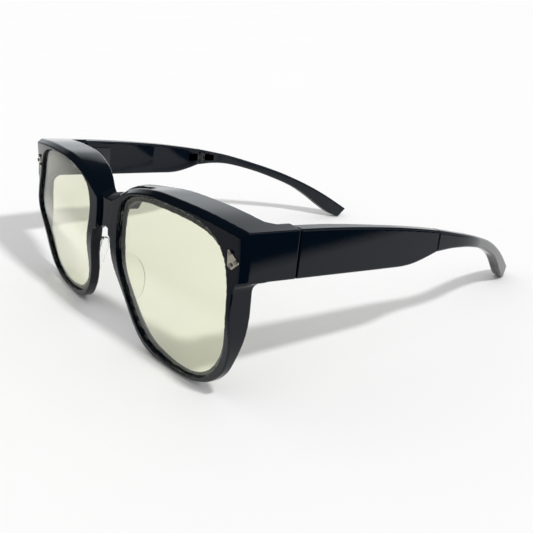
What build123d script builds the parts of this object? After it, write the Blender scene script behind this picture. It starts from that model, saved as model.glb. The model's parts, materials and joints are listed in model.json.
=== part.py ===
from build123d import *
from math import acos, atan2, cos, degrees, hypot, radians, sin, tan
import os

# Fitover sunglasses, standing open on a table on the rims and the tips of the temples.
# The pieces are drawn in the wearer's frame: X to the wearer's left, Y back along the
# temples, Z up, with the lowest point of the rims near Z = 0. At the end the whole
# assembly leans back until rims and tips touch the table.

# Overall sizes
half_width = 74.0
front_height = 53.0
temple_reach = 142.0

# Front: lie of the face, which curves round the head and leans towards the cheeks
face_half_chord = 73.0
wrap_depth = 4.7
face_lean = 5.6
lean_height = 46.0
rim_thickness = 3.3
recess_bevel = 0.25
top_bevel = 1.4
corner_bevel = 1.0

# Hood: the brow shelf, the side shields and the endpieces behind the face
shelf_depth = 11.4
hood_inside_gap = 1.2
inner_corner_cut = 2.2
side_shield_depth = 6.5
lower_shield_depth = 5.1
seam_depth = 18.3
endpiece_thickness = 5.4
endpiece_drop = 2.0
endpiece_height = 13.7
shield_fillet = 3.0
shoulder_share = 0.50
middle_shield_share = 0.80
middle_shield_level_share = 0.22
upper_shield_level_share = 0.46
nose_cut_level_share = 0.69

# Bridge
bridge_bottom_share = 0.645
bridge_top_share = 0.83
bridge_arch_share = 0.72
bridge_arch_rise_share = 0.60
bridge_recess_half_width = 4.5
bridge_recess = 1.2

# Lenses
lens_thickness = 1.4
lens_setback = 1.0
lens_edge_cover = 0.3
lens_clearance = 0.05

# Temples, as thick as the endpiece at the hinge and thinner from there
temple_thickness = 4.0
arm_root_length = 11.0
arm_taper_length = 20.0
seam_gap = 0.15
tip_seam_depth = 72.0
tip_seam_gap = 0.12
arm_level_share = 0.36
arm_end_slope_share = 0.14
arm_end_drop = 3.4
arm_end_height = 6.8
arm_kick_run = 10.0
arm_kick_radius = 14.0
arm_edge_round = 0.7

# Temple tips
tip_straight = 8.0
tip_inset = 24.0
tip_bend_radius = 40.0
tip_foot = 19.2
tip_edge_round = 0.8

# Fold hinges
hinge_height = 8.0
hinge_rise = 7.0
knuckle_radius = 1.5
knuckle_standoff = 0.35
knuckle_gap = 0.1
leaf_setback = 0.4
leaf_thickness = 1.1
front_leaf_length = 2.6
arm_leaf_length = 8.0
anchor_depth = 1.8
anchor_margin = 0.4
anchor_height = 6.0
anchor_fit = 0.05
screw_radius = 0.7
screw_head_radius = 1.15
screw_head_height = 0.7
screw_slot_width = 0.35
screw_slot_depth = 0.35
pin_clearance = 0.04

# Tip hinges, let into the inner faces on both sides of the tip seam
tip_hinge_height = 4.4
tip_knuckle_radius = 1.1
tip_knuckle_sink = 0.5
tip_knuckle_clearance = 0.35
tip_pin_radius = 0.45
tip_leaf_thickness = 0.8
tip_leaf_length = 5.0
tip_leaf_height = 3.2

# Nose pads
pad_length = 17.0
pad_depth = 6.2
pad_thickness = 1.5
pad_edge_round = 0.5
pad_base_thickness = 0.9
pad_base_width = 2.6
pad_base_length = 20.0
pad_base_inset = 1.5
pad_level_share = 0.396
pad_splay = 40.0

# Rivet plaque on each front corner
plaque_height = 5.6
plaque_width = 4.7
plaque_inset = 0.9
plaque_rise = 3.1
plaque_thickness = 0.5
plaque_sink = 0.2
plaque_corner_round = 0.5
rivet_head_radius = 0.62
rivet_head_height = 0.35
rivet_shank_radius = 0.4
rivet_depth = 2.2
rivet_fit = 0.03

# One overrun serves all cuts
overrun = 10.0

# Levels that follow the height of the front
endpiece_top = front_height - endpiece_drop
endpiece_bottom = endpiece_top - endpiece_height
bridge_bottom = front_height * bridge_bottom_share
bridge_top = front_height * bridge_top_share
arm_end_top = endpiece_top - arm_end_drop
arm_end_bottom = arm_end_top - arm_end_height
hinge_level = endpiece_bottom + hinge_rise
tip_hinge_level = (arm_end_top + arm_end_bottom) / 2
plaque_foot = endpiece_bottom + plaque_rise
pad_level = front_height * pad_level_share

# The face is part of a large cylinder whose axis leans with the face
wrap_radius = (face_half_chord**2 + wrap_depth**2) / (2 * wrap_depth)
face_foot = lean_height * sin(radians(face_lean))
face_plane = Plane(
    origin=(0, face_foot, 0),
    x_dir=(1, 0, 0),
    z_dir=(0, -sin(radians(face_lean)), cos(radians(face_lean))),
)
block_reach = half_width + overrun


def face_depth(x, z):
    """Depth of the face's front surface behind the wearer's frame origin."""
    wrap = wrap_radius - wrap_depth - (wrap_radius**2 - x**2) ** 0.5
    return face_foot - z * tan(radians(face_lean)) + wrap / cos(radians(face_lean))


def wrapped_slab(front, rear):
    """Slab between two depths behind the face, as wide and tall as any piece."""
    near_radius = wrap_radius - front
    far_radius = wrap_radius - rear
    centre = wrap_radius - wrap_depth
    reach = block_reach
    near_end = centre - (near_radius**2 - reach**2) ** 0.5
    far_end = centre - (far_radius**2 - reach**2) ** 0.5
    with BuildPart() as slab:
        with BuildSketch(face_plane):
            with BuildLine():
                ThreePointArc((-reach, near_end), (0, front - wrap_depth), (reach, near_end))
                Line((reach, near_end), (reach, far_end))
                ThreePointArc((reach, far_end), (0, rear - wrap_depth), (-reach, far_end))
                Line((-reach, far_end), (-reach, near_end))
            make_face()
        extrude(amount=front_height + overrun, both=True)
    return slab.part


def face_seat(x, z):
    """Plane that touches the face at a point, its z axis pointing forward out of the face."""
    slope_across = x / (wrap_radius**2 - x**2) ** 0.5 / cos(radians(face_lean))
    slope_up = -tan(radians(face_lean))
    return Plane(
        origin=(x, face_depth(x, z), z),
        x_dir=(1, slope_across, 0),
        z_dir=(slope_across, -1, slope_up),
    )


def scaled(shares, width, height):
    """Outline points from shares of a width and a height."""
    return [(across * width, up * height) for across, up in shares]


def swollen(points, distance):
    """Closed outline through points, each moved outwards; the points run anticlockwise."""
    moved = []
    for count, (across, up) in enumerate(points):
        before = points[count - 1]
        after = points[(count + 1) % len(points)]
        run = after[0] - before[0]
        rise = after[1] - before[1]
        share = distance / hypot(run, rise)
        moved.append((across + rise * share, up - run * share))
    return moved


def upright_block(x_span, y_span, z_span):
    """Block between two values of each coordinate."""
    with BuildPart() as piece:
        with BuildSketch(Plane.XY.offset(z_span[0])):
            with Locations(((x_span[0] + x_span[1]) / 2, (y_span[0] + y_span[1]) / 2)):
                Rectangle(x_span[1] - x_span[0], y_span[1] - y_span[0])
        extrude(amount=z_span[1] - z_span[0])
    return piece.part


def upright_pin(centre, radius, z_span):
    """Round pin standing upright between two levels."""
    with BuildPart() as piece:
        with BuildSketch(Plane.XY.offset(z_span[0])):
            with Locations(centre):
                Circle(radius)
        extrude(amount=z_span[1] - z_span[0])
    return piece.part


def knuckle_spans(level, height):
    """Levels of the three knuckles of a hinge, from the lowest to the highest."""
    knuckle = (height - knuckle_gap * 2) / 3
    low = level - height / 2
    step = knuckle + knuckle_gap
    return [(low + step * count, low + step * count + knuckle) for count in range(3)]


# Outline of one rim from the bridge round the nose and the cheek to the endpiece
rim_shares = [
    (0.083, 0.600),
    (0.103, 0.500),
    (0.131, 0.392),
    (0.173, 0.272),
    (0.224, 0.155),
    (0.296, 0.057),
    (0.378, 0.010),
    (0.500, 0.000),
    (0.622, 0.006),
    (0.724, 0.030),
    (0.816, 0.083),
    (0.888, 0.170),
    (0.927, 0.270),
    (0.952, 0.380),
    (0.962, 0.510),
]
rim_points = scaled(rim_shares, half_width, front_height)

# Top line of the brow from the bridge to the hinge corner
brow_shares = [
    (0.061, 0.836),
    (0.120, 0.878),
    (0.240, 0.949),
    (0.410, 0.994),
    (0.580, 1.000),
    (0.780, 0.991),
]
brow_points = scaled(brow_shares, half_width, front_height) + [(half_width, endpiece_top)]

# Opening through the rim, seen inside the ledge that the lens lies on
opening_shares = [
    (0.178, 0.755),
    (0.173, 0.675),
    (0.178, 0.585),
    (0.188, 0.491),
    (0.207, 0.377),
    (0.239, 0.268),
    (0.293, 0.168),
    (0.373, 0.092),
    (0.472, 0.057),
    (0.578, 0.043),
    (0.678, 0.060),
    (0.768, 0.119),
    (0.836, 0.219),
    (0.884, 0.349),
    (0.911, 0.491),
    (0.911, 0.604),
    (0.897, 0.698),
    (0.874, 0.785),
    (0.836, 0.847),
    (0.777, 0.885),
    (0.682, 0.908),
    (0.574, 0.915),
    (0.453, 0.915),
    (0.345, 0.906),
    (0.255, 0.874),
    (0.201, 0.819),
]
opening_points = scaled(opening_shares, half_width, front_height)

# Front edge of the recess that the lens lies in
recess_shares = [
    (0.151, 0.764),
    (0.147, 0.670),
    (0.157, 0.585),
    (0.165, 0.491),
    (0.178, 0.377),
    (0.207, 0.257),
    (0.265, 0.140),
    (0.351, 0.064),
    (0.462, 0.032),
    (0.578, 0.023),
    (0.689, 0.042),
    (0.789, 0.102),
    (0.862, 0.206),
    (0.909, 0.334),
    (0.935, 0.481),
    (0.935, 0.604),
    (0.922, 0.708),
    (0.897, 0.808),
    (0.855, 0.879),
    (0.791, 0.925),
    (0.689, 0.951),
    (0.574, 0.958),
    (0.453, 0.955),
    (0.338, 0.938),
    (0.243, 0.906),
    (0.178, 0.845),
]
recess_points = scaled(recess_shares, half_width, front_height)

# Whole front view of one half, from the nose line to the endpiece
bridge_arch_drop = (bridge_bottom - rim_points[0][1]) * (1 - bridge_arch_rise_share)
shoulder_radius = (half_width - rim_points[-1][0]) * shoulder_share
with BuildSketch(Plane.XZ) as half_outline:
    with BuildLine():
        ThreePointArc(
            (0, bridge_bottom),
            (rim_points[0][0] * bridge_arch_share, bridge_bottom - bridge_arch_drop),
            rim_points[0],
        )
        Spline(rim_points)
        shoulder = Line(rim_points[-1], (rim_points[-1][0], endpiece_bottom))
        Line(shoulder @ 1, (half_width, endpiece_bottom))
        Line((half_width, endpiece_bottom), brow_points[-1])
        Spline(brow_points)
        Line(brow_points[0], (0, bridge_top))
        Line((0, bridge_top), (0, bridge_bottom))
    make_face()
    fillet(half_outline.vertices().sort_by_distance(shoulder @ 1)[0], shoulder_radius)

# Opening, the space behind it inside the hood, the recess, and the lens with its groove
with BuildSketch(Plane.XZ) as opening_outline:
    with BuildLine():
        Spline(opening_points, periodic=True)
    make_face()

with BuildSketch(Plane.XZ) as hood_inside:
    with BuildLine():
        Spline(swollen(opening_points, hood_inside_gap), periodic=True)
    make_face()

with BuildSketch(Plane.XZ) as recess_outline:
    with BuildLine():
        Spline(recess_points, periodic=True)
    make_face()

with BuildSketch(Plane.XZ) as lens_outline:
    with BuildLine():
        Spline(swollen(recess_points, lens_edge_cover), periodic=True)
    make_face()

with BuildSketch(Plane.XZ) as groove_outline:
    with BuildLine():
        Spline(swollen(recess_points, lens_edge_cover + lens_clearance), periodic=True)
    make_face()

# Side view, which trims the rim and the hood behind: a shield low down, the endpiece above
with BuildSketch(Plane.YZ) as side_view:
    with BuildLine():
        Line((-half_width, -overrun), (lower_shield_depth, -overrun))
        Line((lower_shield_depth, -overrun), (lower_shield_depth, 0))
        shield_end = Spline(
            (lower_shield_depth, 0),
            (side_shield_depth * middle_shield_share, front_height * middle_shield_level_share),
            (side_shield_depth, front_height * upper_shield_level_share),
            (side_shield_depth, endpiece_bottom),
        )
        Line(shield_end @ 1, (seam_depth, endpiece_bottom))
        Line((seam_depth, endpiece_bottom), (seam_depth, front_height + overrun))
        Line((seam_depth, front_height + overrun), (-half_width, front_height + overrun))
        Line((-half_width, front_height + overrun), (-half_width, -overrun))
    make_face()
    fillet(side_view.vertices().sort_by_distance(shield_end @ 1)[0], shield_fillet)

# Face with the rim behind it
with BuildPart() as rim_plate:
    extrude(half_outline.sketch, amount=half_width, both=True)
    add(wrapped_slab(0, rim_thickness), mode=Mode.INTERSECT)
    extrude(side_view.sketch, amount=block_reach, mode=Mode.INTERSECT)

# Rear edge of the brow shelf in plan, from near the endpiece to the middle of the bridge
shelf_shares = [
    (0.68, 0.86),
    (0.50, 0.75),
    (0.35, 0.60),
    (0.20, 0.38),
    (0.10, 0.21),
    (0.00, 0.03),
]

# Hood: its plan is open to the front, and the endpiece runs back to the seam
endpiece_inner = half_width - endpiece_thickness
inner_corner = endpiece_inner - inner_corner_cut
shelf_points = [(inner_corner, shelf_depth)] + scaled(shelf_shares, half_width, shelf_depth)

# Room behind the lower rim, which leaves the hood thinner there towards the nose
with BuildPart() as nose_cut:
    with BuildSketch(Plane.XY.offset(front_height * nose_cut_level_share)):
        with BuildLine():
            Polyline(
                (-overrun, -wrap_depth / 2),
                (0, -wrap_depth / 2),
                (half_width, shelf_depth),
                (half_width, half_width),
                (-overrun, half_width),
                close=True,
            )
        make_face()
    extrude(amount=-(front_height + overrun))

with BuildPart() as hood:
    with BuildSketch(Plane.XY):
        with BuildLine():
            Line((0, -half_width), (half_width, -half_width))
            Line((half_width, -half_width), (half_width, seam_depth))
            Line((half_width, seam_depth), (endpiece_inner, seam_depth))
            Line((endpiece_inner, seam_depth), (endpiece_inner, shelf_depth + inner_corner_cut))
            Line((endpiece_inner, shelf_depth + inner_corner_cut), (inner_corner, shelf_depth))
            Spline(shelf_points)
            Line(shelf_points[-1], (0, -half_width))
        make_face()
    extrude(amount=front_height + overrun, both=True)
    extrude(side_view.sketch, amount=block_reach, mode=Mode.INTERSECT)
    extrude(half_outline.sketch, amount=half_width, both=True, mode=Mode.INTERSECT)
    add(wrapped_slab(0, half_width), mode=Mode.INTERSECT)
    add(nose_cut.part, mode=Mode.SUBTRACT)
    extrude(hood_inside.sketch, amount=half_width, both=True, mode=Mode.SUBTRACT)

with BuildPart() as lens_left:
    extrude(lens_outline.sketch, amount=half_width, both=True)
    add(wrapped_slab(lens_setback, lens_setback + lens_thickness), mode=Mode.INTERSECT)

ledge_setback = lens_setback + lens_thickness + lens_clearance
with BuildPart() as lens_recess:
    extrude(recess_outline.sketch, amount=half_width, both=True)
    add(wrapped_slab(-overrun, ledge_setback), mode=Mode.INTERSECT)

with BuildPart() as lens_groove:
    extrude(groove_outline.sketch, amount=half_width, both=True)
    add(wrapped_slab(lens_setback - lens_clearance, ledge_setback), mode=Mode.INTERSECT)

# Fold hinge: the axis stands just inside the seam
hinge_x = endpiece_inner - knuckle_standoff - knuckle_radius
hinge_y = seam_depth + seam_gap / 2
leaf_x_span = (endpiece_inner - leaf_thickness, endpiece_inner)
web_x_span = (endpiece_inner - leaf_thickness, hinge_x + knuckle_radius)
leaf_reach = knuckle_radius + leaf_setback
leaf_z_span = (hinge_level - hinge_height / 2, hinge_level + hinge_height / 2)
fold_spans = knuckle_spans(hinge_level, hinge_height)
front_leaf_y_span = (hinge_y - leaf_reach - front_leaf_length, hinge_y - leaf_reach)
arm_leaf_y_span = (hinge_y + leaf_reach, hinge_y + leaf_reach + arm_leaf_length)


def anchor(y_span, fit):
    """Tenon of a hinge leaf in the endpiece or the arm, or its pocket with a fit all round."""
    return upright_block(
        (endpiece_inner, endpiece_inner + anchor_depth + fit),
        (y_span[0] + anchor_margin - fit, y_span[1] - anchor_margin + fit),
        (hinge_level - anchor_height / 2 - fit, hinge_level + anchor_height / 2 + fit),
    )


# Rivet plaque: a kite with one rounded corner towards the side
plaque_shares = [(0.05, 1.00), (1.00, 0.43), (0.36, 0.00), (0.00, 0.11)]
rivet_shares = [(0.27, 0.80), (0.72, 0.44), (0.28, 0.20)]
plaque_left_edge = half_width - plaque_inset - plaque_width


def on_plaque(shares):
    """Points in the front view from shares of the plaque."""
    points = scaled(shares, plaque_width, plaque_height)
    return [(plaque_left_edge + across, plaque_foot + up) for across, up in points]


with BuildSketch(Plane.XZ) as plaque_outline:
    with BuildLine():
        Polyline(*on_plaque(plaque_shares), close=True)
    make_face()
    fillet(plaque_outline.vertices(), plaque_corner_round)

with BuildSketch(Plane.XZ) as plaque_pocket_outline:
    add(plaque_outline.sketch)
    offset(amount=rivet_fit)

with BuildPart() as plaque_pocket:
    extrude(plaque_pocket_outline.sketch, amount=half_width, both=True)
    add(wrapped_slab(-overrun, plaque_sink), mode=Mode.INTERSECT)

with BuildPart() as rivet_holes:
    for x, z in on_plaque(rivet_shares):
        with BuildSketch(face_seat(x, z)):
            Circle(rivet_shank_radius + rivet_fit)
        extrude(amount=rivet_depth + rivet_fit, both=True)


def front_face(half):
    """Front face of one half of the frame, with the lens opening in it."""
    pierced = half.faces().filter_by(lambda face: len(face.inner_wires()) > 0)
    return pierced.sort_by(Axis.Y)[0]


def at_side(edge):
    """Whether an edge runs down the outer side."""
    return edge.center().X > half_width - corner_bevel / 2


with BuildPart() as front_half:
    add(rim_plate.part)
    add(hood.part)
    extrude(opening_outline.sketch, amount=half_width, both=True, mode=Mode.SUBTRACT)
    add(lens_recess.part, mode=Mode.SUBTRACT)
    chamfer(front_face(front_half).inner_wires()[0].edges(), recess_bevel)
    brow_edge = front_face(front_half).outer_wire().edges().sort_by(Axis.Z)[-1]
    chamfer(brow_edge, top_bevel)
    side_edge = front_face(front_half).outer_wire().edges().filter_by(at_side)
    chamfer(side_edge, corner_bevel)
    add(lens_groove.part, mode=Mode.SUBTRACT)
    add(plaque_pocket.part, mode=Mode.SUBTRACT)
    add(rivet_holes.part, mode=Mode.SUBTRACT)
    add(anchor(front_leaf_y_span, anchor_fit), mode=Mode.SUBTRACT)

# Frame: both halves, with a shallow step across the bridge
with BuildSketch(Plane.XZ) as bridge_step_outline:
    Rectangle(bridge_recess_half_width * 2, (front_height + overrun) * 2)

with BuildPart() as bridge_step:
    extrude(bridge_step_outline.sketch, amount=half_width, both=True)
    add(wrapped_slab(-overrun, bridge_recess), mode=Mode.INTERSECT)

with BuildPart() as front_frame:
    add(front_half.part)
    mirror(about=Plane.YZ)
    add(bridge_step.part, mode=Mode.SUBTRACT)

with BuildPart() as rivet_plaque_left:
    extrude(plaque_outline.sketch, amount=half_width, both=True)
    add(wrapped_slab(plaque_sink - plaque_thickness, plaque_sink), mode=Mode.INTERSECT)
    add(rivet_holes.part, mode=Mode.SUBTRACT)

with BuildPart() as rivets_left:
    for x, z in on_plaque(rivet_shares):
        seat = face_seat(x, z).offset(plaque_thickness - plaque_sink)
        with BuildSketch(seat):
            Circle(rivet_shank_radius)
        extrude(amount=plaque_sink - plaque_thickness - rivet_depth)
        with BuildSketch(seat):
            Circle(rivet_head_radius)
        extrude(amount=rivet_head_height)

# Nose pad: a clear leaf on a thin foot along the nose side of the rim
nose_points = [point for point in rim_points if point[0] < half_width / 2]
pad_points = [point for point in nose_points if abs(point[1] - pad_level) < pad_base_length / 2]
pad_rise = pad_points[0][1] - pad_points[-1][1]
pad_run = pad_points[-1][0] - pad_points[0][0]
pad_span = hypot(pad_rise, pad_run)
pad_middle_x = (pad_points[0][0] + pad_points[-1][0]) / 2 + pad_base_inset
pad_middle_z = (pad_points[0][1] + pad_points[-1][1]) / 2
pad_lean = pad_run / pad_span
pad_seat = face_depth(pad_middle_x, pad_middle_z) + rim_thickness
pad_root = Plane(
    origin=(pad_middle_x, pad_seat, pad_middle_z),
    x_dir=(pad_lean, 0, -pad_rise / pad_span),
    z_dir=(
        cos(radians(pad_splay)) * pad_rise / pad_span,
        -sin(radians(pad_splay)),
        cos(radians(pad_splay)) * pad_lean,
    ),
)

with BuildSketch(Plane.XZ) as pad_foot_outline:
    with Locations((pad_middle_x, pad_middle_z)):
        SlotOverall(pad_base_length, pad_base_width, rotation=degrees(atan2(-pad_rise, pad_run)))

with BuildPart() as pad_foot:
    extrude(pad_foot_outline.sketch, amount=half_width, both=True)
    add(
        wrapped_slab(rim_thickness, rim_thickness + pad_base_thickness),
        mode=Mode.INTERSECT,
    )

pad_shares = [(0.40, 0.62), (0.05, 1.00), (-0.32, 0.74)]
pad_crown = scaled(pad_shares, pad_length, pad_depth)
with BuildPart() as nose_pad_left:
    with BuildSketch(pad_root):
        with BuildLine():
            Line((-pad_length / 2, 0), (pad_length / 2, 0))
            Spline([(pad_length / 2, 0), *pad_crown, (-pad_length / 2, 0)])
        make_face()
    extrude(amount=pad_thickness / 2, both=True)
    fillet(nose_pad_left.faces().sort_by(Axis.Y)[-1].edges(), pad_edge_round)
    add(pad_foot.part)
    add(wrapped_slab(-overrun, rim_thickness), mode=Mode.SUBTRACT)
    add(front_half.part, mode=Mode.SUBTRACT)

# Fold hinge: two knuckles on the front leaf, one on the arm leaf, and a slotted screw
with BuildPart() as front_hinge_leaf_left:
    add(upright_block(leaf_x_span, front_leaf_y_span, leaf_z_span))
    add(anchor(front_leaf_y_span, 0))
    for span in (fold_spans[0], fold_spans[2]):
        add(upright_pin((hinge_x, hinge_y), knuckle_radius, span))
        add(upright_block(web_x_span, (front_leaf_y_span[1], hinge_y), span))
    add(
        upright_pin((hinge_x, hinge_y), screw_radius + pin_clearance, leaf_z_span),
        mode=Mode.SUBTRACT,
    )

with BuildPart() as arm_hinge_leaf_left:
    add(upright_block(leaf_x_span, arm_leaf_y_span, leaf_z_span))
    add(anchor(arm_leaf_y_span, 0))
    add(upright_pin((hinge_x, hinge_y), knuckle_radius, fold_spans[1]))
    add(upright_block(web_x_span, (hinge_y, arm_leaf_y_span[0]), fold_spans[1]))
    add(
        upright_pin((hinge_x, hinge_y), screw_radius + pin_clearance, leaf_z_span),
        mode=Mode.SUBTRACT,
    )

with BuildPart() as hinge_screw_left:
    add(upright_pin((hinge_x, hinge_y), screw_radius, leaf_z_span))
    with BuildSketch(Plane.XY.offset(leaf_z_span[1])):
        with Locations((hinge_x, hinge_y)):
            Circle(screw_head_radius)
    extrude(amount=screw_head_height)
    with BuildSketch(Plane.XY.offset(leaf_z_span[1] + screw_head_height)):
        with Locations((hinge_x, hinge_y)):
            Rectangle(screw_head_radius * 2 + overrun, screw_slot_width)
    extrude(amount=-screw_slot_depth, mode=Mode.SUBTRACT)

# Tip hinge: a tongue let into the arm, a fork let into the tip, and a plain pin
tip_hinge_x = half_width - temple_thickness + tip_knuckle_sink
tip_hinge_y = tip_seam_depth + tip_knuckle_radius + tip_knuckle_clearance
arm_inner = half_width - temple_thickness
tip_leaf_x_span = (arm_inner, arm_inner + tip_leaf_thickness)
tip_spans = knuckle_spans(tip_hinge_level, tip_hinge_height)
tip_hinge_z_span = (tip_spans[0][0], tip_spans[2][1])
tip_slot_end = tip_hinge_y + tip_knuckle_radius + tip_knuckle_clearance
tongue_y_span = (tip_seam_depth - tip_leaf_length, tip_seam_depth)
fork_y_span = (tip_slot_end, tip_slot_end + tip_leaf_length)
tip_leaf_z_span = (
    tip_hinge_level - tip_leaf_height / 2,
    tip_hinge_level + tip_leaf_height / 2,
)


def grown(span, fit):
    """A span with a fit added at both ends."""
    return (span[0] - fit, span[1] + fit)


with BuildPart() as tongue_pocket:
    add(
        upright_block(
            (arm_inner - overrun, tip_leaf_x_span[1] + anchor_fit),
            (tongue_y_span[0] - anchor_fit, tip_seam_depth + overrun),
            grown(tip_leaf_z_span, anchor_fit),
        )
    )

with BuildPart() as tip_hinge_slot:
    add(
        upright_block(
            (arm_inner - overrun, tip_hinge_x + tip_knuckle_radius + tip_knuckle_clearance),
            (tip_seam_depth, tip_slot_end),
            grown(tip_hinge_z_span, knuckle_gap),
        )
    )
    add(
        upright_block(
            (arm_inner - overrun, tip_leaf_x_span[1] + anchor_fit),
            (tip_seam_depth, fork_y_span[1] + anchor_fit),
            grown(tip_leaf_z_span, anchor_fit),
        )
    )

with BuildPart() as tip_hinge_tongue_left:
    add(upright_block(tip_leaf_x_span, tongue_y_span, tip_leaf_z_span))
    add(upright_block(tip_leaf_x_span, (tongue_y_span[0], tip_hinge_y), tip_spans[1]))
    add(upright_pin((tip_hinge_x, tip_hinge_y), tip_knuckle_radius, tip_spans[1]))
    add(
        upright_pin((tip_hinge_x, tip_hinge_y), tip_pin_radius + pin_clearance, tip_spans[1]),
        mode=Mode.SUBTRACT,
    )

with BuildPart() as tip_hinge_fork_left:
    add(upright_block(tip_leaf_x_span, fork_y_span, tip_leaf_z_span))
    for span in (tip_spans[0], tip_spans[2]):
        add(upright_pin((tip_hinge_x, tip_hinge_y), tip_knuckle_radius, span))
        web_low = max(span[0], tip_leaf_z_span[0])
        web_high = min(span[1], tip_leaf_z_span[1])
        add(upright_block(tip_leaf_x_span, (tip_hinge_y, fork_y_span[1]), (web_low, web_high)))
    add(
        upright_pin(
            (tip_hinge_x, tip_hinge_y), tip_pin_radius + pin_clearance, tip_hinge_z_span
        ),
        mode=Mode.SUBTRACT,
    )

with BuildPart() as tip_hinge_pin_left:
    add(upright_pin((tip_hinge_x, tip_hinge_y), tip_pin_radius, tip_hinge_z_span))


def runs_back(edge):
    """Whether an edge runs along the temple, neither across it nor upright."""
    direction = edge % 0.5
    return abs(direction.Y) > abs(direction.X) and abs(direction.Y) > abs(direction.Z)


# Temple arm: side view cut out of a strip drawn in plan
arm_front = seam_depth + seam_gap
with BuildPart() as temple_arm_left:
    with BuildSketch(Plane.XY):
        with BuildLine():
            Polyline(
                (half_width, arm_front),
                (half_width, tip_seam_depth),
                (arm_inner, tip_seam_depth),
                (arm_inner, arm_front + arm_root_length + arm_taper_length),
                (endpiece_inner, arm_front + arm_root_length),
                (endpiece_inner, arm_front),
                close=True,
            )
        make_face()
    extrude(amount=front_height)
    with BuildSketch(Plane.YZ) as arm_side:
        with BuildLine():
            Line((arm_front, endpiece_bottom), (arm_front, endpiece_top))
            top_line = Line(
                (arm_front, endpiece_top),
                (arm_front + arm_root_length * arm_level_share, endpiece_top),
            )
            Spline(
                top_line @ 1,
                (tip_seam_depth, arm_end_top),
                tangents=[(1, 0), (1, -arm_end_slope_share)],
            )
            Line((tip_seam_depth, arm_end_top), (tip_seam_depth, arm_end_bottom))
            kick = Line(
                (tip_seam_depth, arm_end_bottom),
                (tip_seam_depth - arm_kick_run, endpiece_bottom),
            )
            Line(kick @ 1, (arm_front, endpiece_bottom))
        make_face()
        fillet(arm_side.vertices().sort_by_distance(kick @ 1)[0], arm_kick_radius)
    extrude(amount=block_reach, mode=Mode.INTERSECT)
    fillet(temple_arm_left.edges().filter_by(runs_back), arm_edge_round)
    add(anchor(arm_leaf_y_span, anchor_fit), mode=Mode.SUBTRACT)
    add(tongue_pocket.part, mode=Mode.SUBTRACT)

# Temple tip: straight behind the seam, then bent inwards round the back of the head
tip_front = tip_seam_depth + tip_seam_gap
bend_start = tip_front + tip_straight
bend_x = half_width - tip_bend_radius
end_x = half_width - tip_inset - bend_x
end_y = temple_reach - bend_start
end_distance = hypot(end_x, end_y)
bend = atan2(end_y, end_x) - acos(tip_bend_radius / end_distance)
inner_bend_radius = tip_bend_radius - temple_thickness


def on_bend(radius, angle):
    """Point in plan on the bend of the tip."""
    return (bend_x + radius * cos(angle), bend_start + radius * sin(angle))


def past_bend(radius, distance):
    """Point in plan on the straight part behind the bend."""
    across, back = on_bend(radius, bend)
    return (across - distance * sin(bend), back + distance * cos(bend))


tip_run = (end_distance**2 - tip_bend_radius**2) ** 0.5
with BuildSketch(Plane.XY) as tip_plan:
    with BuildLine():
        Line((arm_inner, tip_front), (half_width, tip_front))
        Line((half_width, tip_front), (half_width, bend_start))
        ThreePointArc(
            (half_width, bend_start),
            on_bend(tip_bend_radius, bend / 2),
            on_bend(tip_bend_radius, bend),
        )
        Line(on_bend(tip_bend_radius, bend), past_bend(tip_bend_radius, tip_run))
        Line(past_bend(tip_bend_radius, tip_run), past_bend(inner_bend_radius, tip_run))
        Line(past_bend(inner_bend_radius, tip_run), on_bend(inner_bend_radius, bend))
        ThreePointArc(
            on_bend(inner_bend_radius, bend),
            on_bend(inner_bend_radius, bend / 2),
            (arm_inner, bend_start),
        )
        Line((arm_inner, bend_start), (arm_inner, tip_front))
    make_face()

# Side view of the tip, in shares of its length and its drop
tip_top_shares = [
    (0.000, 1.000),
    (0.113, 0.955),
    (0.227, 0.905),
    (0.406, 0.798),
    (0.556, 0.690),
    (0.671, 0.583),
    (0.774, 0.470),
    (0.870, 0.345),
    (1.000, 0.150),
]
tip_bottom_shares = [
    (0.955, 0.000),
    (0.890, 0.066),
    (0.822, 0.176),
    (0.739, 0.325),
    (0.642, 0.466),
    (0.528, 0.578),
    (0.392, 0.684),
    (0.227, 0.768),
    (0.113, 0.782),
]


def on_tip_side(shares):
    """Points in the side view from shares of the tip's length and drop."""
    points = scaled(shares, temple_reach - tip_front, arm_end_top - tip_foot)
    return [(tip_front + back, tip_foot + up) for back, up in points]


with BuildPart() as temple_tip_left:
    extrude(tip_plan.sketch, amount=front_height)
    with BuildSketch(Plane.YZ) as tip_side:
        with BuildLine():
            Spline(*on_tip_side(tip_top_shares))
            Line(on_tip_side(tip_top_shares)[-1], on_tip_side(tip_bottom_shares)[0])
            Spline(*on_tip_side(tip_bottom_shares), (tip_front, arm_end_bottom))
            Line((tip_front, arm_end_bottom), (tip_front, arm_end_top))
        make_face()
    extrude(amount=block_reach, mode=Mode.INTERSECT)
    long_edges = temple_tip_left.edges().filter_by(GeomType.BSPLINE)
    fillet(long_edges, tip_edge_round)
    add(tip_hinge_slot.part, mode=Mode.SUBTRACT)

# Pieces on both sides in one group each: rivets and hinge screws
with BuildPart() as plaque_rivets:
    add(rivets_left.part)
    mirror(about=Plane.YZ)

with BuildPart() as hinge_screws:
    add(hinge_screw_left.part)
    mirror(about=Plane.YZ)

# The wearer's right side mirrors the left
with BuildPart() as lens_right:
    mirror(lens_left.part, about=Plane.YZ)

with BuildPart() as nose_pad_right:
    mirror(nose_pad_left.part, about=Plane.YZ)

with BuildPart() as rivet_plaque_right:
    mirror(rivet_plaque_left.part, about=Plane.YZ)

with BuildPart() as front_hinge_leaf_right:
    mirror(front_hinge_leaf_left.part, about=Plane.YZ)

with BuildPart() as arm_hinge_leaf_right:
    mirror(arm_hinge_leaf_left.part, about=Plane.YZ)

with BuildPart() as temple_arm_right:
    mirror(temple_arm_left.part, about=Plane.YZ)

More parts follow.
